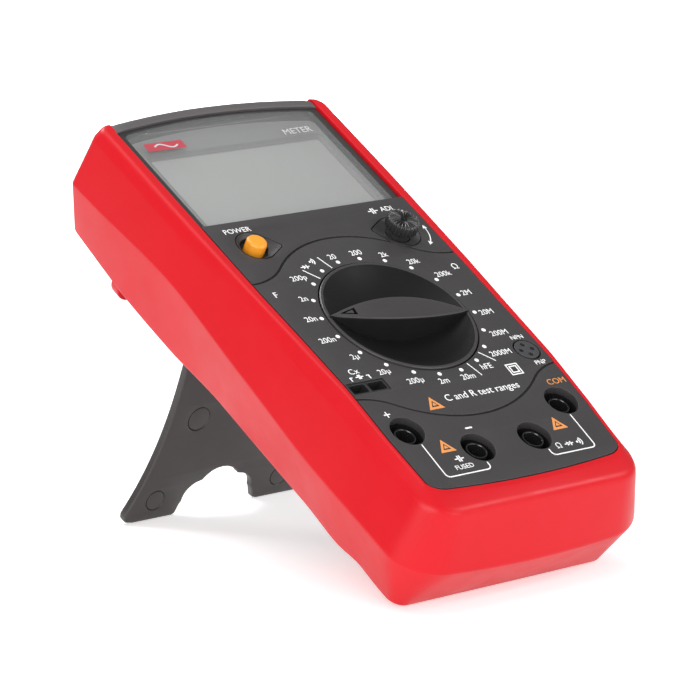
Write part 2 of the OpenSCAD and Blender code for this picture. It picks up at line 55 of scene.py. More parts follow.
BODY = (
    Matrix.Translation(joints["dial_turn"]["pos_m"])
    @ Matrix((RIGHT, UP, NORMAL)).transposed().to_4x4()
    @ Matrix.Scale(0.001, 4)
)

# Face
SLOPE = math.tan(math.radians(4))
SLOPE_START = -23
PLATE_EDGE = [(-61, 32.4), (-56, 32.4), (-41, 33.3), (-25, 33.5), (0, 33.85), (17, 34.3), (95, 34.4)]
PLATE_END = -61
PLATE_CORNER = 5
PLATE_TOP = 44.5
GROOVE = 0.32
DISPLAY_FLOOR = -1.0
END_Y = 93.3
END_ARC = 200
NOTCH_W = 34.1
EDGE_GAP = 0.15
PLATE_BOW = 1.3

# Dial, controls and sockets
KNOB_R = 21.65
WELL_R = 22
POINTER = 171
POSITIONS = 20
DOT_RING = 23.5
BUTTON = (-23.3, 34.4)
ADJUSTER = (23.1, 31.1)
PITCH = 19.05
INNER_Y = -48.9
OUTER_Y = -39.4
OUTER_X = PITCH / 2 + math.sqrt(PITCH**2 - (OUTER_Y - INNER_Y) ** 2)
JACKS = {
    "plus": (-OUTER_X, OUTER_Y),
    "minus": (-PITCH / 2, INNER_Y),
    "ohm": (PITCH / 2, INNER_Y),
    "common": (OUTER_X, OUTER_Y),
}
TRANSISTOR = (28.5, -20.4)
CAPACITOR_SLOTS = (-30.05, -24.15)
SOCKET_LOW = -10.6

# Recesses round the button and the adjuster, as the arguments of teardrop
BUTTON_DROP = dict(at=BUTTON, r=5.3, tip=(8.0, -1.4))
ADJUSTER_DROP = dict(at=ADJUSTER, r=6.0, tip=(-7.9, 2.4))
RECESS_FOOT = -1.0
LIP = 0.3

# Printing, stand and camera
INK_T = 0.05
STAND_LEN = 62.95
STAND_ANGLE = 80.9
FEET_Z = 0.00002
SENSOR = 36
FOCAL = 4000
FRAME_W = 700


def smooth(t):
    t = min(max(t, 0), 1)
    return t * t * (3 - 2 * t)


def mix(a, b, t):
    return a + (b - a) * t


def table(rows, at):
    """Straight-line interpolation in rows of (position, value)."""
    if at <= rows[0][0]:
        return rows[0][1]
    for (p, v), (q, w) in zip(rows, rows[1:]):
        if at <= q:
            return mix(v, w, (at - p) / (q - p))
    return rows[-1][1]


def plate_w(y):
    return table(PLATE_EDGE, y)


def face_z(y):
    """Height of the face: flat, then sloping down through a soft bend."""
    soft = 3
    d = SLOPE_START - y
    if d <= -soft:
        return 0
    if d >= soft:
        return -SLOPE * d
    return -SLOPE * (d + soft) ** 2 / (4 * soft)


def arc(cx, cy, r, start, end, steps):
    return [
        (
            cx + r * math.cos(math.radians(mix(start, end, i / steps))),
            cy + r * math.sin(math.radians(mix(start, end, i / steps))),
        )
        for i in range(steps + 1)
    ]


def circle(at, r, steps):
    return arc(at[0], at[1], r, 0, 360, steps)[:-1]


def end_y(x):
    """Where the arched display end of the case lies at x."""
    return END_Y - END_ARC + math.sqrt(END_ARC**2 - x * x)


# Materials


def material(name, color, rough, bump, grain, spread=0.06, edge_highlight=0.0, metal=0.0, shine=0.5):
    """Moulded or metal finish: fine grain in the bump, slow variation in colour and roughness, and
    a paler tone on sharp edges as a painted highlight."""
    m = bpy.data.materials.new(name)
    m.use_nodes = True
    nodes, links = m.node_tree.nodes, m.node_tree.links
    bsdf = nodes["Principled BSDF"]
    bsdf.inputs["Metallic"].default_value = metal
    bsdf.inputs["Specular IOR Level"].default_value = shine
    place = nodes.new("ShaderNodeTexCoord")

    def noise(size_mm, detail=3.0):
        n = nodes.new("ShaderNodeTexNoise")
        n.inputs["Scale"].default_value = 1000 / size_mm
        n.inputs["Detail"].default_value = detail
        links.new(place.outputs["Object"], n.inputs["Vector"])
        return n.outputs["Fac"]

    def ranged(source, low, high):
        r = nodes.new("ShaderNodeMapRange")
        r.inputs["From Min"].default_value = 0.3
        r.inputs["From Max"].default_value = 0.7
        r.inputs["To Min"].default_value = low
        r.inputs["To Max"].default_value = high
        links.new(source, r.inputs["Value"])
        return r.outputs["Result"]

    tone = nodes.new("ShaderNodeMix")
    tone.data_type = "RGBA"
    tone.inputs["A"].default_value = (*[c * (1 - spread) for c in color], 1)
    tone.inputs["B"].default_value = (*[min(c * (1 + spread), 1) for c in color], 1)
    links.new(noise(18), tone.inputs["Factor"])
    base = tone.outputs["Result"]
    # Painted highlight: sharp convex edges, found by pointiness, are lightened.
    if edge_highlight:
        edges = nodes.new("ShaderNodeNewGeometry")
        ramp = nodes.new("ShaderNodeMapRange")
        ramp.inputs["From Min"].default_value = 0.52
        ramp.inputs["From Max"].default_value = 0.62
        ramp.inputs["To Max"].default_value = edge_highlight
        links.new(edges.outputs["Pointiness"], ramp.inputs["Value"])
        highlighted = nodes.new("ShaderNodeMix")
        highlighted.data_type = "RGBA"
        highlighted.inputs["B"].default_value = (*[min(c * 1.5 + 0.03, 1) for c in color], 1)
        links.new(ramp.outputs["Result"], highlighted.inputs["Factor"])
        links.new(base, highlighted.inputs["A"])
        base = highlighted.outputs["Result"]
    links.new(base, bsdf.inputs["Base Color"])
    links.new(ranged(noise(7), rough * 0.9, min(rough * 1.12, 1)), bsdf.inputs["Roughness"])
    fine = nodes.new("ShaderNodeBump")
    fine.inputs["Strength"].default_value = bump
    fine.inputs["Distance"].default_value = 0.00008
    links.new(noise(grain, 4), fine.inputs["Height"])
    links.new(fine.outputs["Normal"], bsdf.inputs["Normal"])
    return m


def clear_material(name, color, rough, alpha):
    m = bpy.data.materials.new(name)
    m.use_nodes = True
    nodes, links = m.node_tree.nodes, m.node_tree.links
    bsdf = nodes["Principled BSDF"]
    bsdf.inputs["Base Color"].default_value = (*color, 1)
    bsdf.inputs["Alpha"].default_value = alpha
    bsdf.inputs["IOR"].default_value = 1.49
    haze = nodes.new("ShaderNodeTexNoise")
    haze.inputs["Scale"].default_value = 60
    place = nodes.new("ShaderNodeTexCoord")
    spread = nodes.new("ShaderNodeMapRange")
    spread.inputs["To Min"].default_value = rough * 0.7
    spread.inputs["To Max"].default_value = rough * 1.3
    links.new(place.outputs["Object"], haze.inputs["Vector"])
    links.new(haze.outputs["Fac"], spread.inputs["Value"])
    links.new(spread.outputs["Result"], bsdf.inputs["Roughness"])
    return m


RED = material("red_rubber", (0.54, 0.006, 0.012), 0.37, bump=0.14, grain=0.5, spread=0.04, shine=0.22)
FACE = material("face_plastic", (0.036, 0.033, 0.034), 0.45, bump=0.3, grain=0.22, shine=0.45)
# The case, knob and stand finishes have their sharp edges lightened as a painted highlight.
SHELL = material("case_plastic", (0.075, 0.068, 0.069), 0.5, bump=0.3, grain=0.3, edge_highlight=0.3)
KNOB = material("knob_plastic", (0.007, 0.0065, 0.007), 0.45, bump=0.3, grain=0.3, edge_highlight=0.2, shine=0.15)
# Lighter copy of the knob's black plastic for its blade top and rim: painted light and a painted highlight.
KNOB_PAINTED_LIGHT = material("knob_plastic_painted_light", (0.034, 0.031, 0.031), 0.4, bump=0.3, grain=0.3, edge_highlight=0.2, shine=0.45)
STAND = material("stand_plastic", (0.035, 0.030, 0.030), 0.42, bump=0.25, grain=0.4, edge_highlight=0.35)
BLACK = material("black_plastic", (0.012, 0.012, 0.0125), 0.38, bump=0.15, grain=0.3)
RIBBED = material("adjuster_plastic", (0.022, 0.022, 0.023), 0.33, bump=0.15, grain=0.3, shine=0.6)
GLOSS_BLACK = material("gloss_black_plastic", (0.010, 0.010, 0.011), 0.22, bump=0.05, grain=0.5)
ORANGE = material("button_plastic", (0.85, 0.31, 0.02), 0.33, bump=0.08, grain=0.5, spread=0.04)
WHITE_INK = material("white_print", (0.86, 0.86, 0.85), 0.55, bump=0.1, grain=0.2, spread=0.05)
ORANGE_INK = material("orange_print", (0.70, 0.27, 0.07), 0.55, bump=0.1, grain=0.2, spread=0.05)
RED_INK = material("red_print", (0.40, 0.045, 0.065), 0.5, bump=0.1, grain=0.2, spread=0.04)
PALE_INK = material("pale_print", (0.50, 0.50, 0.50), 0.5, bump=0.1, grain=0.2, spread=0.05)
# Near-black: dark print on the face, and painted shade in grooves, gaps and holes.
DARK_PRINT_AND_SHADE = material("dark_print_and_painted_shade", (0.010, 0.010, 0.010), 0.6, bump=0.1, grain=0.2)
SOCKET_GREY = material("socket_plastic", (0.040, 0.040, 0.042), 0.45, bump=0.2, grain=0.3)
MASK = material("display_mask", (0.17, 0.173, 0.17), 0.42, bump=0.05, grain=0.6, spread=0.03)
# Darker copy of the display mask for the sloped wall round the window: painted shade.
MASK_PAINTED_SHADE = material("display_mask_painted_shade", (0.13, 0.13, 0.13), 0.42, bump=0.05, grain=0.6)
# Near-black: the printed border under the lens, and painted shade on the floor in the gaps round the lens.
DARK_BORDER_PRINT_AND_SHADE = material("display_border_print_and_shade", (0.028, 0.028, 0.028), 0.35, bump=0.05, grain=0.6)
CELL = material("display_cell", (0.305, 0.313, 0.302), 0.35, bump=0.02, grain=1.0, spread=0.015)
LENS = clear_material("display_lens", (0.5, 0.505, 0.5), 0.08, 0.14)
BRASS = material("brass", (0.60, 0.44, 0.18), 0.28, bump=0.05, grain=0.4, metal=1.0)
STEEL = material("steel", (0.52, 0.53, 0.54), 0.32, bump=0.06, grain=0.4, metal=1.0)
NYLON = material("nylon", (0.72, 0.70, 0.64), 0.5, bump=0.1, grain=0.4)
BOARD = material("board", (0.02, 0.13, 0.045), 0.35, bump=0.1, grain=0.8)
COMPONENT = material("board_part", (0.36, 0.20, 0.05), 0.35, bump=0.1, grain=0.5)
BLUE = material("blue_plastic", (0.03, 0.09, 0.35), 0.35, bump=0.1, grain=0.4)
CONTACT = material("contact_rubber", (0.62, 0.60, 0.52), 0.6, bump=0.2, grain=0.15)
JACKET = material("battery_jacket", (0.05, 0.055, 0.065), 0.3, bump=0.05, grain=0.8, metal=0.6)
WIRE = material("wire", (0.5, 0.02, 0.03), 0.4, bump=0.05, grain=0.5)
FUSE_GLASS = clear_material("fuse_glass", (0.8, 0.82, 0.82), 0.08, 0.4)

CAD_FINISH = {
    "red_rubber": RED, "face_plastic": FACE, "case_plastic": SHELL, "stand_plastic": STAND,
    "knob_plastic": KNOB, "black_plastic": BLACK, "orange_plastic": ORANGE,
    "grey_plastic": SOCKET_GREY, "white_nylon": NYLON, "blue_plastic": BLUE,
    "lens_plastic": LENS, "display_glass": CELL, "contact_rubber": CONTACT, "board": BOARD,
    "board_part": COMPONENT, "steel": STEEL, "brass": BRASS, "fuse_glass": FUSE_GLASS,
    "battery_jacket": JACKET, "wire": WIRE,
}


def finish_cad_nodes():
    for part in frame["record"]["subparts"]:
        data = frame["nodes"][part["node"]].data
        data.materials.clear()
        data.materials.append(CAD_FINISH[part["material_slot"]])


# Mesh helpers


def new_mesh(name, verts, faces):
    mesh = bpy.data.meshes.new(name)
    mesh.from_pydata(verts, [], faces)
    mesh.validate()
    return mesh


def tidy(mesh, weld=0.0005):
    bm = bmesh.new()
    bm.from_mesh(mesh)
    bmesh.ops.remove_doubles(bm, verts=bm.verts, dist=weld)
    bmesh.ops.dissolve_degenerate(bm, edges=bm.edges, dist=weld)
    bmesh.ops.recalc_face_normals(bm, faces=bm.faces)
    bm.to_mesh(mesh)
    bm.free()
    return mesh


def joined(name, meshes):
    """One mesh from several, keeping their materials."""
    whole = bpy.data.meshes.new(name)
    bm = bmesh.new()
    for mesh in meshes:
        first = len(bm.faces)
        bm.from_mesh(mesh)
        bm.faces.ensure_lookup_table()
        for finish in mesh.materials:
            if finish.name not in whole.materials:
                whole.materials.append(finish)
        slots = [whole.materials.find(finish.name) for finish in mesh.materials]
        for face in bm.faces[first:]:
            face.material_index = slots[face.material_index] if slots else 0
    bm.to_mesh(whole)
    bm.free()
    return whole


def painted(mesh, finish):
    mesh.materials.clear()
    mesh.materials.append(finish)
    return mesh


def repainted(mesh, finish, chosen):
    """Give the faces that chosen(face) picks a second finish."""
    mesh.materials.append(finish)
    for face in mesh.polygons:
        if chosen(face):
            face.material_index = len(mesh.materials) - 1
    return mesh


def piece(name, mesh, body, finish=None, place=BODY, nodes=(), sharp=35):
    if finish:
        painted(mesh, finish)
    mesh.transform(place)
    for face in mesh.polygons:
        face.use_smooth = True
    mesh.set_sharp_from_angle(angle=math.radians(sharp))
    obj = bpy.data.objects.new(name, mesh)
    bpy.context.scene.collection.objects.link(obj)
    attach(obj, body)
    if nodes:
        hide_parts(*nodes)
    return obj


def plate(loops, low, high, bevel=0.0, steps=2, cuts=()):
    """A plate from an outline and its holes, with bevelled edges. If cuts are given, it is cut
    along the lines Y = cuts and then laid on the bent face."""
    curve = bpy.data.curves.new("outline", "CURVE")
    curve.dimensions = "2D"
    curve.fill_mode = "BOTH"
    curve.extrude = (high - low) / 2 - bevel
    curve.bevel_depth = bevel
    curve.bevel_resolution = steps
    curve.offset = -bevel
    for loop in loops:
        spline = curve.splines.new("POLY")
        spline.points.add(len(loop) - 1)
        for point, (x, y) in zip(spline.points, loop):
            point.co = (x, y, 0, 1)
        spline.use_cyclic_u = True
    mesh = curve_mesh(curve)
    mesh.transform(Matrix.Translation((0, 0, (high + low) / 2)))
    tidy(mesh)
    if cuts:
        bm = bmesh.new()
        bm.from_mesh(mesh)
        for y in cuts:
            everything = bm.verts[:] + bm.edges[:] + bm.faces[:]
            bmesh.ops.bisect_plane(bm, geom=everything, plane_co=(0, y, 0), plane_no=(0, 1, 0))
        for v in bm.verts:
            v.co.z += face_z(v.co.y)
        bm.to_mesh(mesh)
        bm.free()
    return mesh


def curve_mesh(curve):
    obj = bpy.data.objects.new("curve", curve)
    bpy.context.scene.collection.objects.link(obj)
    depsgraph = bpy.context.evaluated_depsgraph_get()
    mesh = bpy.data.meshes.new_from_object(obj.evaluated_get(depsgraph))
    bpy.data.objects.remove(obj)
    return mesh


def lathe(profile, steps, at=(0, 0)):
    """A turned body from a profile of (radius, z), closed at the axis or back on itself."""
    verts, rows = [], []
    for r, z in profile:
        rows.append(len(verts))
        for i in range(steps):
            a = 2 * math.pi * i / steps
            verts.append((at[0] + r * math.cos(a), at[1] + r * math.sin(a), z))
    faces = []
    for k in range(len(profile) - 1):
        for i in range(steps):
            j = (i + 1) % steps
            faces.append((rows[k] + i, rows[k] + j, rows[k + 1] + j, rows[k + 1] + i))
    return tidy(new_mesh("turned", verts, faces), 0.0002)


def loft(loops, closed=False):
    """A skin through loops of equally many points. closed joins the last loop to the first;
    otherwise both ends get a cap."""
    n = len(loops[0])
    verts = [p for loop in loops for p in loop]
    faces = []
    last = len(loops) if closed else len(loops) - 1
    for k in range(last):
        a, b = k * n, ((k + 1) % len(loops)) * n
        for i in range(n):
            j = (i + 1) % n
            faces.append((a + i, a + j, b + j, b + i))
    if not closed:
        faces.append(tuple(range(n))[::-1])
        faces.append(tuple(range((len(loops) - 1) * n, len(loops) * n)))
    return tidy(new_mesh("loft", verts, faces))


def cut(mesh, *tools):
    """mesh minus the tools, by exact boolean."""
    obj = bpy.data.objects.new("whole", mesh)
    bpy.context.scene.collection.objects.link(obj)
    cutters = []
    for i, tool in enumerate(tools):
        cutter = bpy.data.objects.new(f"cutter_{i}", tool)
        bpy.context.scene.collection.objects.link(cutter)
        modifier = obj.modifiers.new(f"cut_{i}", "BOOLEAN")
        modifier.object = cutter
        modifier.solver = "EXACT"
        cutters.append(cutter)
    depsgraph = bpy.context.evaluated_depsgraph_get()
    result = bpy.data.meshes.new_from_object(obj.evaluated_get(depsgraph))
    for used in [obj, *cutters]:
        bpy.data.objects.remove(used)
    return tidy(result, 0.0002)


def box_mesh(x, y, z):
    corners = [(a, b, c) for c in z for b in y for a in x]
    sides = [(0, 2, 3, 1), (4, 5, 7, 6), (0, 1, 5, 4), (2, 6, 7, 3), (0, 4, 6, 2), (1, 3, 7, 5)]
    return new_mesh("box", corners, sides)


def filleted(points, radii):
    """The path through points with each inner corner rounded by a curve of about its radius."""
    steps = 5
    path = [Vector(points[0])]
    for before, at, after, r in zip(points, points[1:], points[2:], radii):
        a, p, b = Vector(before), Vector(at), Vector(after)
        to_a, to_b = a - p, b - p
        turn = math.pi - to_a.angle(to_b)
        reach = min(r * math.tan(turn / 2), to_a.length * 0.48, to_b.length * 0.48)
        s, e = p + to_a.normalized() * reach, p + to_b.normalized() * reach
        for i in range(steps + 1):
            t = i / steps
            path.append(s * (1 - t) ** 2 + p * 2 * t * (1 - t) + e * t * t)
    return path + [Vector(points[-1])]


# Holster


def ring(width, low, high, r_low, r_high, height, bulge=0.0):
    """A rounded outline as a loop of points. width(y) is its half width, height(x, y) its z, and
    bulge is how far the bottom edge draws back at its ends."""
    across, corner, along = 28, 10, 56
    w_low, w_high = width(low + r_low), width(high - r_high)
    x_low, x_high = w_low - r_low, w_high - r_high
    pts = [(mix(-x_low, x_low, i / across), low) for i in range(across)]
    pts += arc(x_low, low + r_low, r_low, -90, 0, corner)[:-1]
    side = [mix(low + r_low, high - r_high, i / along) for i in range(along)]
    pts += [(width(y), y) for y in side]
    pts += arc(x_high, high - r_high, r_high, 0, 90, corner)[:-1]
    pts += [(mix(x_high, -x_high, i / across), high) for i in range(across)]
    pts += arc(-x_high, high - r_high, r_high, 90, 180, corner)[:-1]
    side = [mix(high - r_high, low + r_low, i / along) for i in range(along)]
    pts += [(-width(y), y) for y in side]
    pts += arc(-x_low, low + r_low, r_low, 180, 270, corner)[:-1]
    bent = [bowed(x, y, x_low, low + r_low, r_low, bulge) for x, y in pts]
    return [(x, y, height(x, y)) for x, y in bent]


def bowed(x, y, half_w, start, r, bow):
    """A point of an outline whose bottom edge, below start, draws back by bow at its ends."""
    return x, y + bow * (x / half_w) ** 2 * max(0, (start - y) / r)


def back_z(y):
    """Height of the holster's back."""
    rows = [(-66, -35.3), (-40, -36.4), (36, -36.4), (86.2, -31.8)]
    return table(rows, y)


def holster_mesh():
    def crown(y):
        return plate_w(y) + 0.1 + mix(0.9, 3.5, smooth((y + 60) / 120))

    def ridge(y):
        return 36.2 + 1.6 * smooth((y + 62) / 50) + 1.5 * smooth((y - 5) / 55)

    def ridge_z(x, y):
        side = -3.5 + 0.5 * face_z(y)
        return mix(side, -4.2, smooth((-60 - y) / 6)) if y < -60 else side

    def crease_z(x, y):
        return -18.3 - 1.7 * smooth((5 - y) / 35) + 3.4 * math.exp(-(((y - 42) / 30) ** 2))

    def back_w(y):
        return 34.35 + 3.5 * smooth((y - 15) / 52) + smooth((-24 - y) / 20)

    def low_back_z(x, y):
        return back_z(y) + math.exp(-(((y + 50.5) / 6.5) ** 2))

    def rim(drop):
        """The inner edge of the rim round the face, at some depth below it."""
        return ring(lambda y: plate_w(y) + 0.1, -61.1, 86.8, 5, 1.2,
                    lambda x, y: face_z(y) - drop, PLATE_BOW)

    def window(height):
        return ring(lambda y: 32, -18, 49.5, 2.5, 2.5, height)

    # From the opening of the rim, over the outside, and in through the window in the back
    rings = [
        rim(3.6),
        rim(0.05),
        ring(crown, -62.6, 90.1, 6.2, 4, lambda x, y: face_z(y) - 0.1, PLATE_BOW),
        ring(ridge, -67, 90.4, 9, 3.5, ridge_z),
        ring(lambda y: 41.3, -73.4, 89.5, 13, 2, crease_z, bulge=1.4),
        ring(back_w, -66, 86.4, 3.5, 2, low_back_z),
        window(lambda x, y: back_z(y)),
        window(lambda x, y: -33.1),
        ring(lambda y: 38.1, -63, 85.6, 6, 7, lambda x, y: -17.5),
    ]
    radii = [0.3, 2.2, 3.6, 1.8, 1.2, 0.5]
    paths = [filleted(profile, radii + [0]) for profile in zip(*rings)]
    loops = [[path[k] for path in paths] for k in range(len(paths[0]))]
    notch_w = NOTCH_W + 0.22
    notch = box_mesh((-notch_w, notch_w), (80, 100), (-14.15, 5))
    return cut(loft(loops, closed=True), notch)


def make_holster():
    piece("holster_skin", holster_mesh(), "tester", RED, nodes=["holster"], sharp=50)
    # Open rings that hold the test probes
    clips = []
    for side in (-1, 1):
        ring_r, bore_r, mouth = 4.9, 3.4, 40
        middle = -90 - side * 70
        outline = arc(0, 0, ring_r, middle + mouth, middle + 360 - mouth, 40)
        outline += arc(0, 0, bore_r, middle + 360 - mouth, middle + mouth, 40)
        clip = plate([outline], -1.9, 1.9, 0.4, 3)
        clip.transform(Matrix.Translation((side * 28.5, 68, -37.8)) @ Matrix.Rotation(math.pi / 2, 4, "X"))
        clips.append(painted(clip, RED))
    piece("probe_rings", joined("probe_rings", clips), "tester", nodes=["probe_clips"])
    make_hinge_lugs()


def make_hinge_lugs():
    hinge_y, hinge_z = 47, -35.2
    lugs = []
    for side in (-1, 1):
        outline = arc(0, 0, 2.4, 100, 350, 24)
        outline += [(2.9, 0.2), (2.9, 1.8), (1.2, 2.1)]
        lug = plate([outline], -2, 2, 0.3, 2)
        turn = Matrix(((0, 0, 1, 0), (1, 0, 0, 0), (0, 1, 0, 0), (0, 0, 0, 1)))
        lug.transform(Matrix.Translation((side * 23.6, hinge_y, hinge_z)) @ turn)
        lugs.append(painted(lug, RED))
    piece("hinge_lugs", joined("hinge_lugs", lugs), "tester")


# Face of the front case


def groove_end(cx, cy, r, start, stop):
    """The outward bend at the right end of a groove, up to the edge of the face."""
    bend = [(x, y) for x, y in arc(cx, cy, r, start, stop, 14) if x < plate_w(y) - 0.02]
    edge_y = bend[-1][1]
    return bend + [(plate_w(edge_y), edge_y)]


def upper_groove(offset):
    """The groove over the dial, from right to left, moved away from the dial by offset."""
    r, turn = 32.9 + offset, 18.5 - offset
    ends = 41.3
    reach = r + turn
    cx = reach * math.sin(math.radians(ends))
    cy = reach * math.cos(math.radians(ends))
    right = groove_end(cx, cy, turn, 270 - ends, 270)
    over = arc(0, 0, r, 90 - ends, 90 + ends, 40)
    left = [(-x, y) for x, y in right]
    return right[::-1] + over[1:-1] + left


def lower_groove(offset):
    """The groove under the dial, from left to right, moved away from the dial by offset."""
    r, turn = 38.5 + offset, 18.5 - offset
    ends = 38
    reach = r + turn
    cx = reach * math.sin(math.radians(ends))
    cy = -reach * math.cos(math.radians(ends))
    right = groove_end(cx, cy, turn, 90 + ends, 90)
    under = arc(0, 0, r, -90 - ends, -90 + ends, 40)
    left = [(-x, y) for x, y in right[::-1]]
    return left + under[1:-1] + right


def side_points(y_from, y_to, side, steps=10):
    ys = [mix(y_from, y_to, i / steps) for i in range(1, steps)]
    return [(side * plate_w(y), y) for y in ys]


def teardrop(at, r, tip):
    """A circle drawn out to a rounded nose towards tip."""
    reach = math.hypot(*tip)
    angle = math.degrees(math.atan2(tip[1], tip[0]))
    tangent = math.degrees(math.acos(r / reach))
    body = arc(0, 0, r, angle + tangent, angle + 360 - tangent, 40)
    nose_r = 0.17 * r
    nose = arc(tip[0] * 0.83, tip[1] * 0.83, nose_r, angle - tangent, angle + tangent, 8)
    return [(at[0] + x, at[1] + y) for x, y in nose + body]


def rounded_rect(x0, y0, x1, y1, r):
    steps = 6
    return (
        arc(x1 - r, y0 + r, r, -90, 0, steps)
        + arc(x1 - r, y1 - r, r, 0, 90, steps)
        + arc(x0 + r, y1 - r, r, 90, 180, steps)
        + arc(x0 + r, y0 + r, r, 180, 270, steps)
    )


def make_face():
    # Lines across the soft bend, and the underside of the face
    cuts = [-20, -21.2, -22.4, -23.6, -24.8, -26]
    under = -2.2
    top = [(plate_w(PLATE_TOP), PLATE_TOP), (-plate_w(PLATE_TOP), PLATE_TOP)]
    upper = upper_groove(GROOVE)
    region_a = top + side_points(PLATE_TOP, upper[-1][1], -1) + upper[::-1]
    region_a += side_points(upper[0][1], PLATE_TOP, 1)
    inner_up, inner_low = upper_groove(-GROOVE), lower_groove(-GROOVE)
    region_b = inner_up + side_points(inner_up[-1][1], inner_low[0][1], -1, 16) + inner_low
    region_b += side_points(inner_low[-1][1], inner_up[0][1], 1, 16)
    low = lower_groove(GROOVE)
    corner_w = plate_w(PLATE_END + PLATE_CORNER) - PLATE_CORNER
    corner_y = PLATE_END + PLATE_CORNER
    region_c = low + side_points(low[-1][1], corner_y, 1)
    region_c += arc(corner_w, corner_y, PLATE_CORNER, 0, -90, 12)
    region_c += [(mix(corner_w, -corner_w, i / 12), PLATE_END) for i in range(1, 12)]
    region_c += arc(-corner_w, corner_y, PLATE_CORNER, -90, -180, 12)
    region_c += side_points(corner_y, low[0][1], -1)
    socket_hole = rounded_rect(-33.1, -25.1, -20.9, -20.7, 0.3)
    holes_b = [circle((0, 0), WELL_R, 128), circle(TRANSISTOR, 3.95, 48), socket_hole]
    holes_c = [circle(at, 4.8, 64) for at in JACKS.values()]
    region_a, region_b, region_c = [
        [drawn_in(x, y) for x, y in region] for region in (region_a, region_b, region_c)
    ]
    lips = [teardrop(d["at"], d["r"] + LIP, [t * (1 + LIP / d["r"]) for t in d["tip"]])
            for d in (BUTTON_DROP, ADJUSTER_DROP)]
    parts = [
        plate([region_a, *lips], under, 0, 0.1),
        plate([region_b, *holes_b], under, 0, 0.1, cuts=cuts),
        plate([region_c, *holes_c], under, 0, 0.1, cuts=cuts),
    ]
    parts = [painted(p, FACE) for p in parts]
    # Near-black floor under the grooves and the gap to the rim: painted shade in the grooves and the gap
    wider_holes = [circle(at, 5.3, 48) for at in JACKS.values()]
    floor = plate([outline_below(), circle((0, 0), WELL_R + 0.6, 96), *wider_holes,
                   teardrop(**BUTTON_DROP), teardrop(**ADJUSTER_DROP),
                   rounded_rect(-33.1, -25.4, -20.6, -20.4, 0.3), circle(TRANSISTOR, 3.7, 40)],
                  -1.2, -0.6, 0, cuts=cuts)
    parts.append(painted(floor, DARK_PRINT_AND_SHADE))
    # The steep walls of each dish, down into the hole round the control, take the near-black tone as painted
    # shade.
    for drop, hole in ((BUTTON_DROP, 4.05), (ADJUSTER_DROP, 3.6)):
        dish = painted(recess_floor(drop, hole), FACE)
        parts.append(repainted(dish, DARK_PRINT_AND_SHADE, lambda face: face.normal.z < 0.3))
    # Near-black ring under the button, seen through the gap round it: painted shade.
    collar = lathe([(4.2, -2.5), (4.2, -3.3), (3.0, -3.3), (3.0, -2.5), (4.2, -2.5)], 40, BUTTON)
    parts.append(painted(collar, DARK_PRINT_AND_SHADE))
    parts.append(painted(well_mesh(), KNOB))
    for at in JACKS.values():
        parts.append(painted(jack_well(at), GLOSS_BLACK))
    parts += display_bed() + [painted(end_band(), SHELL), painted(front_skirt(), SHELL)]
    piece("face_and_front_shell", joined("face_and_front_shell", parts), "tester",
          nodes=["front_case"])


def drawn_in(x, y):
    """A point of the face's outline, with the bottom edge bowed and a small gap left to the rim."""
    low = PLATE_END + PLATE_CORNER
    if abs(x) > plate_w(y) - 0.3:
        x -= math.copysign(EDGE_GAP, x)
    if y < low:
        y += EDGE_GAP * (low - y) / PLATE_CORNER
    return bowed(x, y, plate_w(low) - PLATE_CORNER, low, PLATE_CORNER, PLATE_BOW)


def outline_below():
    """Outline of the dark floor under the face, just inside the opening of the rim."""
    low = PLATE_END + PLATE_CORNER
    corner_w = plate_w(low) - PLATE_CORNER
    ys = [mix(low, PLATE_TOP - 0.3, i / 20) for i in range(21)]
    right = [(plate_w(y) + 0.04, y) for y in ys]
    bottom = arc(-corner_w, low, PLATE_CORNER + 0.04, 180, 270, 8)
    bottom += [(mix(-corner_w, corner_w, i / 12), PLATE_END - 0.04) for i in range(1, 12)]
    bottom += arc(corner_w, low, PLATE_CORNER + 0.04, 270, 360, 8)
    bottom = [bowed(x, y, corner_w, low, PLATE_CORNER, PLATE_BOW) for x, y in bottom]
    return bottom + right[1:] + [(-x, y) for x, y in right[::-1]][:-1]


def recess_floor(drop, hole):
    """The dished floor round a control, from its hole up to the lip."""
    ax, ay = drop["at"]
    loops = []
    for t in [k / 6 for k in range(7)]:
        loop = []
        for x, y in teardrop(**drop):
            p = Vector((x - ax, y - ay))
            p = p.normalized() * mix(hole, p.length, t)
            loop.append((ax + p.x, ay + p.y, mix(RECESS_FOOT, -0.1, t ** 1.5)))
        loops.append(loop)
    low = -2.6
    under = [(x, y, low) for x, y, _ in loops[-1]]
    inner = [(x, y, low) for x, y, _ in loops[0]]
    return loft([*loops, under, inner], closed=True)


def well_mesh():
    floor = -6
    return lathe([(WELL_R, -0.3), (WELL_R, floor), (5.2, floor), (5.2, floor - 1),
                  (WELL_R + 1.2, floor - 1), (WELL_R + 1.2, -0.3), (WELL_R, -0.3)], 96)


def jack_well(at):
    top = face_z(at[1])
    low = SOCKET_LOW
    return lathe([(4.85, top - 0.4), (4.8, top - 2), (4.75, low), (3.0, low), (3.0, low - 0.5),
                  (5.9, low - 0.5), (5.9, top - 0.6), (4.85, top - 0.4)], 48, at)


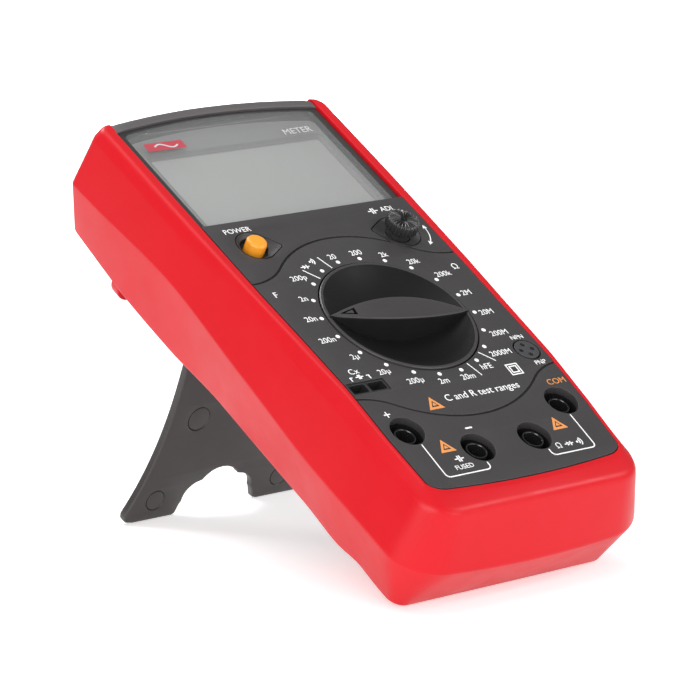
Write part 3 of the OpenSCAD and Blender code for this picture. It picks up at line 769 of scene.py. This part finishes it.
def display_bed():
    """Floor of the display area: a near-black border round the lens, painted shade where it shows in the gaps by
    the lens; a dark printed border under the lens; the grey mask round the window; and the mask's sloped wall
    round the window in a darker copy, painted shade.
    """
    w = 34.2
    border = [(-w, PLATE_TOP - 0.1), (w, PLATE_TOP - 0.1), (w, 87)]
    border += [(x, end_y(x) - 4.5) for x in [31.7 - 63.4 * i / 24 for i in range(25)]]
    border += [(-w, 87)]
    # Near-black floor round the lens, seen in the gaps by its edge: painted shade.
    parts = [painted(plate([border, lens_outline(0.12)], -3, DISPLAY_FLOOR, 0.1), DARK_BORDER_PRINT_AND_SHADE)]
    window = rounded_rect(-28.6, 43.4, 28.6, 75.8, 0.8)
    slope = rounded_rect(-30.0, 42.4, 30.0, 77.6, 1.6)
    field = lens_outline(-0.7, 1.7)
    # Dark printed border under the edge of the lens.
    parts.append(painted(plate([lens_outline(-0.05), field], -3.1, -2.7, 0), DARK_BORDER_PRINT_AND_SHADE))
    parts.append(painted(plate([field, slope], -2.9, -2.5, 0.08), MASK))
    # Sloped wall from the mask down to the window, in the darker copy of the mask as painted shade.
    rings = [[(x, y, z) for x, y in loop] for loop, z in
             ((slope, -2.55), (window, -3.25), (window, -3.4), (slope, -3.4))]
    parts.append(painted(loft(rings, closed=True), MASK_PAINTED_SHADE))
    return parts


def lens_outline(grow, lower=0.0):
    """Outline of the display lens, its arched end drawn down by lower."""
    half_w, low, top, r = 32.1 + grow, 45 - grow, 88.1 + grow - lower, 178 + grow - lower
    cy = top - r
    end = math.degrees(math.asin((half_w - 1) / r))
    over = arc(0, cy, r, 90 - end, 90 + end, 30)
    return [(-half_w, low), (half_w, low), (half_w, over[0][1] - 1.2)] + over + [
        (-half_w, over[-1][1] - 1.2)]


def end_band():
    """The rounded end of the case that fills the notch in the holster."""
    section = [(-4.3, -3.5), (-4.3, -0.4), (-4.05, -0.15), (-2.4, -0.12), (-1.3, -0.5), (-0.5, -1.25),
               (-0.1, -2.3), (0, -3.6), (0, -13.9), (-6, -13.9), (-6, -3.5)]
    loops = []
    for i in range(41):
        x = mix(-NOTCH_W, NOTCH_W, i / 40)
        inset = 0.35 * smooth((abs(x) - NOTCH_W + 0.6) / 0.6)
        loops.append([(x, end_y(x) + dy, z - (inset if z > -1 else 0)) for dy, z in section])
    return loft(loops)


def skirt_ring(w, low, high, z):
    """A ring of the skirt; close under the face it follows the face's bend."""
    return ring(lambda y: w, low, high, 6, 6, lambda x, y: z + face_z(y) if z > -5 else z)


def front_skirt():
    """The front shell below the face, as it shows through gaps: down its outside and up its inside."""
    sections = [(34.6, -60.5, 86.5, -2.6), (36.6, -60, 86.6, -9), (37.6, -61.8, 85.2, -17.4),
                (35.4, -59.6, 83, -17.4), (33, -57.5, 84, -4)]
    return loft([skirt_ring(*section) for section in sections], closed=True)


# Display


def make_display():
    piece("display_window", plate([lens_outline(0)], -2.4, DISPLAY_FLOOR, 0.25, 3), "tester",
          LENS, nodes=["display_lens"])
    cell = plate([rounded_rect(-30.4, 44.8, 30.4, 76.8, 0.4)], -5.3, -3.32, 0.05)
    piece("display_cell", cell, "tester", CELL, nodes=["lcd_glass"])


# Dial


def knob_body():
    """The turned body of the dial: a dished top, a flush rim and a skirt."""
    edge_r, rim_top, depth = 20.7, 0.3, 5.0
    drop = depth + rim_top
    scoop_r = (edge_r**2 + drop**2) / (2 * drop)
    profile = []
    for i in range(25):
        r = edge_r * i / 24
        profile.append((r, scoop_r - depth - math.sqrt(scoop_r**2 - r * r)))
    profile += [(20.85, 0.36), (21.1, 0.4), (21.4, 0.34), (21.6, 0.12), (KNOB_R, -0.3),
                (KNOB_R, -5.8), (5, -5.8), (5, -7.1), (0, -7.1)]
    return lathe(profile, 128)


def blade_mesh():
    half_len, half_w, low = KNOB_R - 0.35, 4.4, -5.2
    side_r = (half_len**2 + half_w**2) / (2 * half_w)
    top, tip = 2.9, 0.9
    rise = top - tip
    arch_r = (half_len**2 + rise**2) / (2 * rise)
    loops = []
    steps = 60
    for i in range(steps + 1):
        u = half_len * math.cos(math.pi * i / steps)
        w = max(math.sqrt(side_r**2 - u * u) - (side_r - half_w), 0.02)
        z = top - arch_r + math.sqrt(arch_r**2 - u * u)
        soft = min(0.6, w * 0.6)
        edge = [(w + 0.12, low), (w, z - soft * 1.3), (w - soft * 0.12, z - soft * 0.55),
                (w - soft * 0.45, z - soft * 0.14), (w - soft, z)]
        crown = [(w - soft) * k for k in (0.6, 0.2, -0.2, -0.6)]
        mid = [(y, z + 0.06 * (1 - (y / max(w, 0.1)) ** 2)) for y in crown]
        other = [(-y, h) for y, h in edge[::-1]]
        loops.append([(u, y, h) for y, h in edge + mid + other])
    return loft(loops)


def triangle_outline(apex, base, half, width):
    """Outline of a narrow triangle as two loops, for an engraved pointer."""
    outer = [(apex, 0), (base, half), (base, -half)]
    cx = (apex + 2 * base) / 3
    k = 1 - width / (half * 0.62)
    inner = [(cx + (x - cx) * k, y * k) for x, y in outer]
    return [outer, inner]


def make_dial():
    turn = Matrix.Rotation(math.radians(POINTER), 4, "Z")
    blade = blade_mesh()
    engraving = plate(triangle_outline(18.6, 13.9, 1.35, 0.42), 0.6, 4, 0)
    # The blade's top takes the lighter copy as painted light; its steep flanks take the near-black plastic as
    # painted shade.
    blade = painted(cut(blade, engraving), KNOB_PAINTED_LIGHT)
    blade = repainted(blade, KNOB, lambda face: face.normal.z < 0.35)
    body = painted(knob_body(), KNOB)
    # The rim's upper faces take the lighter copy as a painted highlight.
    body = repainted(body, KNOB_PAINTED_LIGHT, lambda face: face.center.xy.length > 20.75 and face.normal.z > 0.1)
    piece("range_dial", joined("range_dial", [body, blade]), "dial",
          place=BODY @ turn, nodes=["range_knob"], sharp=32)


# Button and adjuster


def make_button():
    """A round cap with a hint of ten flats."""
    sides = 10
    steps = sides * 6
    loops = []
    for r, z in ((2.85, -4.4), (2.85, 0.9), (2.78, 1.25), (2.5, 1.55), (2.0, 1.66), (1.2, 1.7),
                 (0.02, 1.7)):
        loop = []
        for i in range(steps):
            a = 2 * math.pi * i / steps
            within = (a + math.pi / sides) % (2 * math.pi / sides) - math.pi / sides
            flat = math.cos(math.pi / sides) / math.cos(within)
            reach = r * mix(1, flat, 0.55)
            loop.append((BUTTON[0] + reach * math.cos(a), BUTTON[1] + reach * math.sin(a), z))
        loops.append(loop)
    piece("power_cap", loft(loops), "button", ORANGE, nodes=["power_button"])


def make_adjuster():
    """A fluted knob on a narrower collar, its top ribbed out to the flutes round a dished middle."""
    flutes, per = 24, 8
    steps = flutes * per
    low, top = 1.25, 4.6
    levels = [(3.35, -1.25, 0, 0), (3.35, low, 0, 0), (4.5, low, 0.4, 0), (4.6, low + 0.15, 0.42, 0),
              (4.6, 3.7, 0.42, 0), (4.5, 4.15, 0.42, 0.1), (4.15, 4.5, 0.25, 0.4), (3.7, top, 0, 0.6),
              (3.0, top, 0, 0.6), (2.2, top - 0.12, 0, 0.6), (1.5, top - 0.3, 0, 0.45),
              (1.0, top - 0.5, 0, 0.2), (0.8, top - 1.4, 0, 0), (0.01, top - 1.4, 0, 0)]
    loops = []
    for r, z, notch, rib in levels:
        loop = []
        for i in range(steps):
            wave = 0.5 - 0.5 * math.cos(2 * math.pi * i / per)
            a = 2 * math.pi * i / steps
            x, y = (r - notch * wave) * math.cos(a), (r - notch * wave) * math.sin(a)
            loop.append((ADJUSTER[0] + x, ADJUSTER[1] + y, z - rib * wave))
        loops.append(loop)
    piece("adjuster_cap", loft(loops), "adjuster", RIBBED,
          nodes=["adjuster_knob"], sharp=60)


# Sockets


def make_jacks():
    for name, at in JACKS.items():
        low = SOCKET_LOW
        top = -2.9
        shroud = lathe([(2.45, top - 0.2), (2.6, top), (2.85, top - 0.02), (2.95, top - 0.2),
                        (2.95, low + 1.2), (4.65, low + 1.1), (4.65, low), (2.45, low),
                        (2.45, top - 0.2)], 48, at)
        piece(f"{name}_insulator", shroud, "tester", GLOSS_BLACK,
              nodes=[f"{name}_shroud"])
        sleeve = lathe([(2.0, -7.7), (2.1, -7.5), (2.38, -7.52), (2.4, -7.7), (2.4, -21.9),
                        (0.01, -22), (0.01, -21), (2.0, -21), (2.0, -7.7)], 40, at)
        piece(f"{name}_contact", sleeve, "tester", BRASS, nodes=[f"{name}_sleeve"])


def make_component_sockets():
    slots = [rounded_rect(x - 2.5, -24.4, x + 2.5, -21.4, 0.25) for x in CAPACITOR_SLOTS]
    block = plate([rounded_rect(-33, -25, -21, -20.8, 0.3), *slots], SOCKET_LOW, -0.3, 0.12)
    slits = [rounded_rect(x + side * 1.2 - 0.9, -23.1, x + side * 1.2 + 0.9, -22.7, 0.1)
             for x in CAPACITOR_SLOTS for side in (-1, 1)]
    # Near-black bed seen down the slots, with slits for the contacts: painted shade at the bottom of the slots.
    bed = plate([rounded_rect(-32.9, -24.9, -21.1, -20.9, 0.2), *slits], -3.6, -3.0, 0)
    parts = [painted(block, BLACK), painted(bed, DARK_PRINT_AND_SHADE)]
    piece("capacitor_block", joined("capacitor_block", parts), "tester",
          nodes=["capacitor_socket"])
    pins = [circle((TRANSISTOR[0] + 1.9 * math.cos(a), TRANSISTOR[1] + 1.9 * math.sin(a)), 0.72, 20)
            for a in [math.pi / 2 * k for k in range(4)]]
    disc = plate([circle(TRANSISTOR, 3.45, 64), *pins], SOCKET_LOW, 0.06, 0.12)
    piece("transistor_disc", disc, "tester", SOCKET_GREY,
          nodes=["transistor_socket"])


# Printing on the face


class Print:
    """Flat marks on the face, gathered by ink."""

    def __init__(self):
        self.marks = {}

    def add(self, mesh, ink):
        self.marks.setdefault(ink.name, []).append(painted(mesh, ink))

    def text(self, words, at, size, ink=WHITE_INK, turn=0.0, clear=None, squeeze=1.0):
        """Words centred at a place; clear=(angle, radius) puts them outside a ring instead."""
        font = bpy.data.curves.new("words", "FONT")
        font.body = words
        font.size = size
        font.extrude = INK_T / 2
        font.offset = -0.004
        font.resolution_u = 3
        mesh = curve_mesh(font)
        xs = [v.co.x for v in mesh.vertices]
        ys = [v.co.y for v in mesh.vertices]
        mid = Vector(((min(xs) + max(xs)) / 2, (min(ys) + max(ys)) / 2, 0))
        mesh.transform(Matrix.Translation(-mid))
        mesh.transform(Matrix.Diagonal((squeeze, 1, 1, 1)))
        half_w, half_h = (max(xs) - min(xs)) / 2 * squeeze, (max(ys) - min(ys)) / 2
        if clear:
            a = math.radians(clear[0])
            r = clear[1] + abs(math.cos(a)) * half_w + abs(math.sin(a)) * half_h
            at = (r * math.cos(a), r * math.sin(a))
        mesh.transform(Matrix.Translation((*at, 0)) @ Matrix.Rotation(turn, 4, "Z"))
        self.add(laid(mesh), ink)

    def shape(self, loops, ink=WHITE_INK):
        self.add(laid(plate(loops, -INK_T / 2, INK_T / 2)), ink)

    def line(self, points, width=0.32, ink=WHITE_INK):
        self.shape([stroke(points, width)], ink)


def laid(mesh):
    """Lay a flat mark on the sloping face."""
    for v in mesh.vertices:
        v.co.z += face_z(v.co.y) + INK_T / 2
    return mesh


def stroke(points, width):
    """Outline of a line of some width through points."""
    left, right = [], []
    for i, p in enumerate(points):
        a = Vector(points[max(i - 1, 0)])
        b = Vector(points[min(i + 1, len(points) - 1)])
        d = (b - a).normalized()
        normal = Vector((-d.y, d.x)) * width / 2
        if 0 < i < len(points) - 1:
            first = (Vector(p) - a).normalized()
            normal /= max(first.dot(d), 0.5)
        left.append(tuple(Vector(p) + normal))
        right.append(tuple(Vector(p) - normal))
    return left + right[::-1]


def moved(points, at, scale):
    return [(at[0] + scale * x, at[1] + scale * y) for x, y in points]


def capacitor_symbol(ink, at, scale):
    for side in (-1, 1):
        ink.line(moved([(side * 0.32, -1), (side * 0.32, 1)], at, scale), 0.38)
        ink.line(moved([(side * 0.32, 0), (side * 1.5, 0)], at, scale), 0.34)


def diode_symbol(ink, at, scale):
    ink.shape([moved([(-0.65, -0.75), (-0.65, 0.75), (0.55, 0)], at, scale)])
    ink.line(moved([(0.62, -0.75), (0.62, 0.75)], at, scale), 0.34)
    ink.line(moved([(-1.5, 0), (1.5, 0)], at, scale), 0.32)


def buzzer_symbol(ink, at, scale):
    ink.shape([moved(circle((-0.8, 0), 0.36, 16), at, scale)])
    for r in (0.9, 1.6):
        ink.line(moved(arc(-0.8, 0, r, -52, 52, 10), at, scale), 0.32)


def make_print():
    ink = Print()
    ranges = ["", "20", "200", "2k", "20k", "200k", "2M", "20M", "200M", "2000M", "hFE", "20m", "2m",
              "200µ", "20µ", "2µ", "200n", "20n", "2n", "200p"]
    step = 360 / POSITIONS
    first = 117
    for i, words in enumerate(ranges):
        angle = first - i * step
        a = math.radians(angle)
        dot = (DOT_RING * math.cos(a), DOT_RING * math.sin(a))
        ink.shape([circle(dot, 0.62, 20)])
        if words:
            ink.text(words, None, 2.75, clear=(angle, DOT_RING + 1.3), squeeze=0.95)
    diode_symbol(ink, (-14.6, 23.4), 0.95)
    buzzer_symbol(ink, (-11.2, 25.0), 0.9)
    for centre in (first, first - 180):
        for side in (-1, 1):
            a = math.radians(centre + side * step / 2)
            ends = [(r * math.cos(a), r * math.sin(a)) for r in (22.5, 27.6)]
            ink.line(ends, 0.3)
    ink.text("POWER", (-24.9, 41.0), 2.55)
    capacitor_symbol(ink, (20.9, 40.5), 1.1)
    ink.text("ADJ", (25.6, 40.4), 2.55)
    ink.text("F", (-30.3, 14.9), 3.0)
    ink.text("Ω", (30.2, 14.6), 3.0)
    ink.text("Cx", (-27.7, -16.9), 2.75)
    capacitor_symbol(ink, (-27.3, -19.1), 0.8)
    for side in (-1, 1):
        corner = [(-27.3 + side * 2.2, -19.0), (-27.3 + side * 3.0, -19.0), (-27.3 + side * 3.0, -20.3)]
        ink.line(corner, 0.28)
    ink.text("NPN", (28.8, -15.4), 2.1)
    ink.text("PNP", (29.3, -25.6), 2.1)
    nested_square(ink, 19.6, -26.3)
    ink.text("C and R test ranges", (4.6, -31.8), 3.2, squeeze=0.98)
    ink.text("COM", (29.2, -32.8), 2.75, ORANGE_INK)
    ink.text("+", (-28.3, -33.1), 4.2)
    ink.line([(-9.0, -42.3), (-6.8, -42.3)], 0.5)
    capacitor_symbol(ink, (-17.6, -51.3), 1.0)
    ink.text("FUSED", (-17.8, -54.0), 2.1)
    ink.text("Ω", (14.2, -53.6), 2.6)
    diode_symbol(ink, (17.7, -53.7), 0.95)
    buzzer_symbol(ink, (21.3, -53.7), 0.95)
    for x, y in ((-12.4, -32.2), (-18.9, -46.4), (18.9, -46.4)):
        triangle(ink, x, y)
    bracket_lines(ink)
    curved_arrow(ink)
    for name, marks in ink.marks.items():
        piece(f"{name}_marks", joined(f"{name}_marks", marks), "tester", sharp=20)
    badge()


def nested_square(ink, cx, cy):
    for r in (1.25, 2.0):
        k = 1 - 0.36 / r
        square = [(cx - r, cy - r), (cx + r, cy - r), (cx + r, cy + r), (cx - r, cy + r)]
        inner = [(cx + (x - cx) * k, cy + (y - cy) * k) for x, y in square]
        ink.shape([square, inner])


def triangle(ink, x, y):
    """An orange outline, with a dark ring and an orange core inside it."""
    half, height = 2.5, 4.3
    outer = [(x - half, y - height / 2), (x + half, y - height / 2), (x, y + height / 2)]
    inner = [(x + (px - x) * 0.5, y + (py - y) * 0.5 - 0.3) for px, py in outer]
    core = [(x + (px - x) * 0.28, y + (py - y) * 0.28 - 0.35) for px, py in outer]
    ink.shape([outer, inner], ORANGE_INK)
    ink.shape([inner, core], DARK_PRINT_AND_SHADE)
    ink.shape([core], ORANGE_INK)


def bracket_lines(ink):
    """A line that joins the two sockets of each side from below."""
    outer_x, inner_x = OUTER_X - 0.9, PITCH / 2 + 0.9
    low, r, gap = -56.4, 1.3, 5.2
    line = [(outer_x, OUTER_Y - gap)]
    line += arc(outer_x - r, low + r, r, 0, -90, 6)
    line += arc(inner_x + r, low + r, r, -90, -180, 6)
    line += [(inner_x, INNER_Y - gap)]
    for side in (-1, 1):
        ink.line([(side * x, y) for x, y in line], 0.34)


def curved_arrow(ink):
    path = arc(*ADJUSTER, 8.9, -1, -42, 12)
    ink.line(path, 0.28)
    for (x, y), (px, py) in ((path[0], path[1]), (path[-1], path[-2])):
        d = Vector((x - px, y - py)).normalized()
        n = Vector((-d.y, d.x))
        at = Vector((x, y))
        ink.shape([[tuple(at + d * 1.2), tuple(at + n * 0.7 - d * 0.2), tuple(at - n * 0.7 - d * 0.2)]])


def badge():
    """A plain red badge with a wave, and a word, printed under the top edge of the lens."""
    z = DISPLAY_FLOOR + 0.01

    def flat(mesh, finish):
        mesh.transform(Matrix.Translation((0, 0, z)))
        return painted(mesh, finish)

    pill = flat(plate([rounded_rect(-28.9, 77.3, -16.3, 80.6, 0.25)], 0, 0.02), RED_INK)
    wave = [(-26 + 7.6 * i / 24, 78.95 + 0.85 * math.sin(2 * math.pi * i / 24)) for i in range(25)]
    curve = flat(plate([stroke(wave, 0.5)], 0.02, 0.05), PALE_INK)
    font = bpy.data.curves.new("words", "FONT")
    font.body = "METER"
    font.size = 3.3
    font.extrude = 0.01
    font.align_x = "CENTER"
    word = curve_mesh(font)
    word.transform(Matrix.Translation((21.9, 76.9, 0.01)))
    word = flat(word, PALE_INK)
    piece("badge_print", joined("badge_print", [pill, curve, word]), "tester", sharp=20)


# Stand


def stand_mesh():
    """The stand as a flat plate hinged at the origin, with its feet at Y = -STAND_LEN."""
    along = [-1.2 + 61.2 * i / 24 for i in range(25)]
    right = [(21.2 + 10 * (s / 60) ** 3, -s) for s in along]
    feet = [(31.05, -61.3), (30.3, -62.2), (28.2, -STAND_LEN), (14.6, -STAND_LEN), (13.6, -62.2),
            (12.6, -59.3)]
    arch_y = -58.6
    arch = [(x, arch_y + (y - arch_y) * 0.82) for x, y in arc(4.9, arch_y, 7.2, 0, 62, 10)]
    bump = [(x, -53.2 + y) for x, y in [(6.2, 0.3), (5.2, 1.4), (3.6, 2.6), (1.8, 3.25), (0, 3.45)]]
    side = right + feet + arch + bump
    outline = side + [(-x, y) for x, y in side[::-1][1:]]
    marks = [((12.85 * k, -32), 3.55) for k in (-1, 1)] + [((21.6 * k, -56.6), 3.0) for k in (-1, 1)]
    body = plate([outline, *[circle(at, r, 40) for at, r in marks]], -1.25, 1.25, 0.55, 4)
    discs = [plate([circle(at, r - 0.12, 40)], -1.15, 1.12, 0.1) for at, r in marks]
    barrel = lathe([(1.3, -21.2), (1.8, -21.2), (2.0, -21.0), (2.0, 21.0), (1.8, 21.2), (1.3, 21.2),
                    (1.3, -21.2)], 40)
    barrel.transform(Matrix.Rotation(math.pi / 2, 4, "Y"))
    return joined("stand", [painted(m, STAND) for m in (body, *discs, barrel)])


def make_stand():
    hinge = Vector(joints["stand_fold"]["pos_m"])
    open_angle = math.radians(STAND_ANGLE)
    to_hinge = Matrix.Translation(BODY.inverted() @ hinge) @ Matrix.Rotation(open_angle, 4, "X")
    mesh = stand_mesh()
    mesh.transform(to_hinge)
    mesh.transform(BODY)
    # The feet are cut flush with the surface that they stand on
    for v in mesh.vertices:
        v.co.z = max(v.co.z, FEET_Z)
    piece("tilt_stand_shape", mesh, "stand", place=Matrix.Identity(4),
          nodes=["tilt_stand"], sharp=40)


# Set


def make_floor():
    bpy.ops.mesh.primitive_plane_add(size=6, location=(0, 0, -0.0002))
    floor = bpy.context.object
    floor.name = "floor"
    paper = material("floor", (0.86, 0.86, 0.86), 0.8, bump=0.02, grain=2, spread=0.005, shine=0.1)
    glow = paper.node_tree.nodes["Principled BSDF"]
    glow.inputs["Emission Color"].default_value = (1, 1, 1, 1)
    glow.inputs["Emission Strength"].default_value = 0.45
    floor.data.materials.append(paper)


def aim(obj, at):
    obj.rotation_euler = (Vector(at) - obj.location).to_track_quat("-Z", "Y").to_euler()


def area_light(name, at, size, power, target=(0, 0, 0.05), spread=180):
    light = bpy.data.lights.new(name, "AREA")
    light.spread = math.radians(spread)
    light.shape = "RECTANGLE"
    light.size, light.size_y = size
    light.energy = power
    obj = bpy.data.objects.new(name, light)
    bpy.context.scene.collection.objects.link(obj)
    obj.location = at
    aim(obj, target)


def make_lights():
    area_light("overhead", (-0.1, 0.05, 1.5), (0.9, 0.9), 6.5)
    area_light("display_end", (-0.05, 0.42, 0.5), (0.3, 0.2), 2.0, (0, 0.05, 0.1))
    area_light("front", (-1.35, -1.2, 0.7), (1.1, 0.9), 19)
    area_light("left", (-1.7, -0.6, 0.45), (0.6, 0.8), 7)
    area_light("front_right", (0.5, -1.7, 0.35), (0.9, 0.5), 7)
    area_light("rim", (1.0, -0.92, 0.87), (0.35, 0.35), 6)
    area_light("far_floor", (1.0, 1.2, 1.1), (1.4, 1.0), 26, (1.0, 1.2, 0), 75)
    world = bpy.data.worlds.new("studio")
    world.use_nodes = True
    world.node_tree.nodes["Background"].inputs["Color"].default_value = (0.97, 0.98, 1, 1)
    world.node_tree.nodes["Background"].inputs["Strength"].default_value = 0.35
    bpy.context.scene.world = world


def make_camera():
    """A long lens from the lower left. Its place and its three axes are in the body frame."""
    at = BODY @ Vector((-656.42, -563.73, 563.54))
    right = Vector((0.76798, -0.55863, 0.31328))
    down = Vector((-0.13927, -0.62308, -0.76966))
    ahead = Vector((0.62515, 0.54745, -0.55631))
    turn = Matrix((RIGHT, UP, NORMAL)).transposed()
    axes = [turn @ v for v in (right, -down, -ahead)]
    camera = bpy.data.cameras.new("camera")
    camera.sensor_width = SENSOR
    camera.lens = SENSOR * FOCAL / FRAME_W
    camera.clip_end = 20
    obj = bpy.data.objects.new("camera", camera)
    bpy.context.scene.collection.objects.link(obj)
    obj.matrix_world = Matrix.Translation(at) @ Matrix(axes).transposed().to_4x4()
    bpy.context.scene.camera = obj


make_camera()
make_lights()
make_floor()
finish_cad_nodes()
make_holster()
make_face()
make_display()
make_dial()
make_button()
make_adjuster()
make_jacks()
make_component_sockets()
make_print()
make_stand()
bpy.context.scene.view_settings.view_transform = "Standard"
